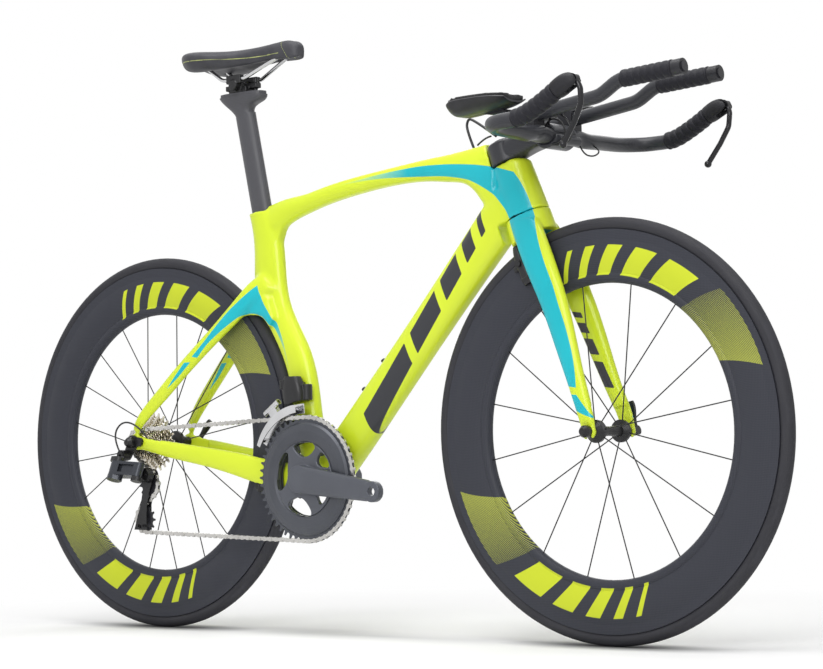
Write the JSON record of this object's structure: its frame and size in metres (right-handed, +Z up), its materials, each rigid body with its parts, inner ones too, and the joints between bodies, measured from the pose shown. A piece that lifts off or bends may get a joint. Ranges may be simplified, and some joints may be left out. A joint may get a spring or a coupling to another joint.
{
  "type": "time trial bike",
  "caption": "Time trial bicycle with aero-section frame and fork, deep-rim spoked wheels, armrest extensions, base bar with brake levers, geared chain drive and rim brakes.",
  "frame": {"origin": "on the ground under the middle of the wheelbase, in the bike's middle plane", "axes": "+X forwards, +Y to the rider's left, +Z up"},
  "size_m": [1.6579, 0.4424, 1.0272],
  "materials": {
    "frame_paint": "glossy fluorescent yellow-green paint over carbon fibre, with blue and dark areas",
    "carbon": "matt dark carbon fibre",
    "rim_carbon": "matt dark grey carbon fibre with yellow panels",
    "tyre_rubber": "black rubber tread",
    "grip_rubber": "matt black rubber",
    "tape": "black ribbed handlebar tape",
    "foam": "black cloth-faced foam",
    "saddle_skin": "smooth black cover with fine yellow lines",
    "black_plastic": "matt black moulded plastic",
    "black_metal": "black anodised aluminium",
    "alloy": "satin bare aluminium",
    "crank_grey": "dark grey satin aluminium",
    "steel": "bright steel",
    "spoke_black": "black steel wire",
    "cog_steel": "nickel-plated steel",
    "cable_black": "black cable housing"
  },
  "bodies": {
    "frame": {"front_triangle": "frame_paint", "bottle_bolts": "black_metal", "chainstay_left": "frame_paint", "chainstay_right": "frame_paint", "seatstay_left": "frame_paint", "seatstay_right": "frame_paint", "frame_bearings": "black_metal", "rear_axle": "steel", "dropout_plates": "black_metal", "rear_derailleur_bracket": "black_metal", "front_derailleur_body": "black_metal", "derailleur_wire": "cable_black", "steering_cables": "cable_black", "chain": "steel"},
    "seatpost": {"seatpost": "carbon", "saddle_cover": "saddle_skin", "saddle_shell": "black_plastic", "saddle_rails": "steel", "saddle_clamp": "black_metal"},
    "steering": {"fork": "frame_paint", "stem": "carbon", "base_bar": "carbon", "extensions": "carbon", "arm_rests": "black_plastic", "arm_pads": "foam", "bar_tape": "tape", "shifter_housings": "black_plastic", "lever_hoods": "grip_rubber", "front_axle": "steel"},
    "front_wheel": {"front_rim": "rim_carbon", "front_tyre": "tyre_rubber", "front_spokes": "spoke_black", "front_hub": "black_metal"},
    "rear_wheel": {"rear_rim": "rim_carbon", "rear_tyre": "tyre_rubber", "rear_spokes": "spoke_black", "rear_hub": "black_metal"},
    "cassette": {"cassette": "cog_steel", "freehub": "alloy"},
    "crank": {"crank_arm_right": "crank_grey", "crank_arm_left": "crank_grey", "chainring_large": "crank_grey", "chainring_small": "crank_grey", "chainring_bolts": "black_metal"},
    "rear_derailleur_link": {"rear_derailleur_link": "alloy"},
    "rear_derailleur_knuckle": {"rear_derailleur_knuckle": "black_metal"},
    "rear_derailleur_cage": {"rear_derailleur_cage": "black_metal"},
    "guide_pulley": {"guide_pulley": "black_plastic"},
    "tension_pulley": {"tension_pulley": "black_plastic"},
    "front_derailleur_cage": {"front_derailleur_cage": "steel"},
    "brake_lever_left": {"brake_lever_left": "black_metal"},
    "brake_lever_right": {"brake_lever_right": "black_metal"},
    "shift_button_left": {"shift_button_left": "black_plastic"},
    "shift_button_right": {"shift_button_right": "black_plastic"},
    "front_brake_arm_left": {"front_brake_arm_left": "black_metal"},
    "front_brake_arm_right": {"front_brake_arm_right": "black_metal"},
    "rear_brake_arm_left": {"rear_brake_arm_left": "black_metal"},
    "rear_brake_arm_right": {"rear_brake_arm_right": "black_metal"},
    "rear_quick_lever": {"rear_quick_lever": "black_metal"},
    "front_quick_lever": {"front_quick_lever": "black_metal"}
  },
  "joints": [
    {"name": "seatpost_height", "type": "slide", "parent": "frame", "child": "seatpost", "axis": [-0.2028, 0, 0.9792], "range_m": [-0.045, 0.03]},
    {"name": "steering_turn", "type": "hinge", "parent": "frame", "child": "steering", "pos_m": [0.45399, 0, 0.32107], "axis": [-0.3007, 0, 0.9537], "range_deg": [-35, 35], "deforming": ["steering_cables"]},
    {"name": "front_wheel_spin", "type": "hinge", "parent": "steering", "child": "front_wheel", "pos_m": [0.495, 0, 0.334], "axis": [0, 1, 0], "continuous": true},
    {"name": "rear_wheel_spin", "type": "hinge", "parent": "frame", "child": "rear_wheel", "pos_m": [-0.495, 0, 0.334], "axis": [0, 1, 0], "continuous": true},
    {"name": "crank_spin", "type": "hinge", "parent": "frame", "child": "crank", "pos_m": [-0.09998, 0, 0.265], "axis": [0, 1, 0], "continuous": true, "deforming": ["chain"]},
    {"name": "cassette_spin", "type": "hinge", "parent": "frame", "child": "cassette", "pos_m": [-0.495, 0, 0.334], "axis": [0, 1, 0], "continuous": true, "deforming": ["chain"]},
    {"name": "rear_derailleur_link_swing", "type": "hinge", "parent": "frame", "child": "rear_derailleur_link", "pos_m": [-0.51051, -0.10085, 0.28661], "axis": [0, 0.3746, 0.9272], "range_deg": [0, 52], "stiffness_Nm_per_rad": 1, "deforming": ["chain"]},
    {"name": "rear_derailleur_knuckle_swing", "type": "hinge", "parent": "rear_derailleur_link", "child": "rear_derailleur_knuckle", "pos_m": [-0.461, -0.0944, 0.284], "axis": [0, 0.3746, 0.9272], "range_deg": [-52, 0], "deforming": ["chain"]},
    {"name": "rear_derailleur_cage_swing", "type": "hinge", "parent": "rear_derailleur_knuckle", "child": "rear_derailleur_cage", "pos_m": [-0.463, -0.0604, 0.275], "axis": [0, 1, 0], "range_deg": [-25, 15], "stiffness_Nm_per_rad": 1, "deforming": ["chain"]},
    {"name": "guide_pulley_spin", "type": "hinge", "parent": "rear_derailleur_cage", "child": "guide_pulley", "pos_m": [-0.468, -0.0604, 0.258], "axis": [0, 1, 0], "continuous": true, "deforming": ["chain"]},
    {"name": "tension_pulley_spin", "type": "hinge", "parent": "rear_derailleur_cage", "child": "tension_pulley", "pos_m": [-0.47947, -0.0604, 0.19605], "axis": [0, 1, 0], "continuous": true, "deforming": ["chain"]},
    {"name": "front_derailleur_cage_swing", "type": "hinge", "parent": "frame", "child": "front_derailleur_cage", "pos_m": [-0.18602, -0.037, 0.38787], "axis": [0.8191, 0, 0.5736], "range_deg": [0, 10], "deforming": ["chain"]},
    {"name": "brake_lever_left_pull", "type": "hinge", "parent": "steering", "child": "brake_lever_left", "pos_m": [0.59308, 0.206, 0.85341], "axis": [0, 1, 0], "range_deg": [0, 25], "stiffness_Nm_per_rad": 0.8},
    {"name": "brake_lever_right_pull", "type": "hinge", "parent": "steering", "child": "brake_lever_right", "pos_m": [0.59308, -0.206, 0.85341], "axis": [0, 1, 0], "range_deg": [0, 25], "stiffness_Nm_per_rad": 0.8},
    {"name": "shift_button_left_press", "type": "slide", "parent": "steering", "child": "shift_button_left", "axis": [-0.9983, 0, -0.059], "range_m": [0, 0.002], "stiffness_N_per_m": 500},
    {"name": "shift_button_right_press", "type": "slide", "parent": "steering", "child": "shift_button_right", "axis": [-0.9983, 0, -0.059], "range_m": [0, 0.002], "stiffness_N_per_m": 500},
    {"name": "front_brake_arm_left_swing", "type": "hinge", "parent": "steering", "child": "front_brake_arm_left", "pos_m": [0.36187, 0.025, 0.57919], "axis": [0.8788, 0, 0.4772], "range_deg": [0, 2.6]},
    {"name": "front_brake_arm_right_swing", "type": "hinge", "parent": "steering", "child": "front_brake_arm_right", "pos_m": [0.36187, -0.025, 0.57919], "axis": [-0.8788, 0, -0.4772], "range_deg": [0, 2.6]},
    {"name": "rear_brake_arm_left_swing", "type": "hinge", "parent": "frame", "child": "rear_brake_arm_left", "pos_m": [-0.22819, 0.024, 0.25243], "axis": [-0.2924, 0, -0.9563], "range_deg": [0, 2.6]},
    {"name": "rear_brake_arm_right_swing", "type": "hinge", "parent": "frame", "child": "rear_brake_arm_right", "pos_m": [-0.22819, -0.024, 0.25243], "axis": [0.2924, 0, 0.9563], "range_deg": [0, 2.6]},
    {"name": "rear_quick_lever_open", "type": "hinge", "parent": "frame", "child": "rear_quick_lever", "pos_m": [-0.495, 0.0915, 0.334], "axis": [-0.7828, 0, 0.6222], "range_deg": [0, 150]},
    {"name": "front_quick_lever_open", "type": "hinge", "parent": "steering", "child": "front_quick_lever", "pos_m": [0.495, 0.0725, 0.334], "axis": [-0.9798, 0, -0.2], "range_deg": [0, 150]}
  ],
  "couplings": [
    {"joint": "cassette_spin", "follows": "crank_spin", "ratio": 4.7273},
    {"joint": "guide_pulley_spin", "follows": "crank_spin", "ratio": -4.7273},
    {"joint": "tension_pulley_spin", "follows": "crank_spin", "ratio": 4.7273},
    {"joint": "rear_derailleur_knuckle_swing", "follows": "rear_derailleur_link_swing", "ratio": -1},
    {"joint": "front_brake_arm_left_swing", "follows": "brake_lever_left_pull", "ratio": 0.104},
    {"joint": "front_brake_arm_right_swing", "follows": "brake_lever_left_pull", "ratio": 0.104},
    {"joint": "rear_brake_arm_left_swing", "follows": "brake_lever_right_pull", "ratio": 0.104},
    {"joint": "rear_brake_arm_right_swing", "follows": "brake_lever_right_pull", "ratio": 0.104}
  ]
}
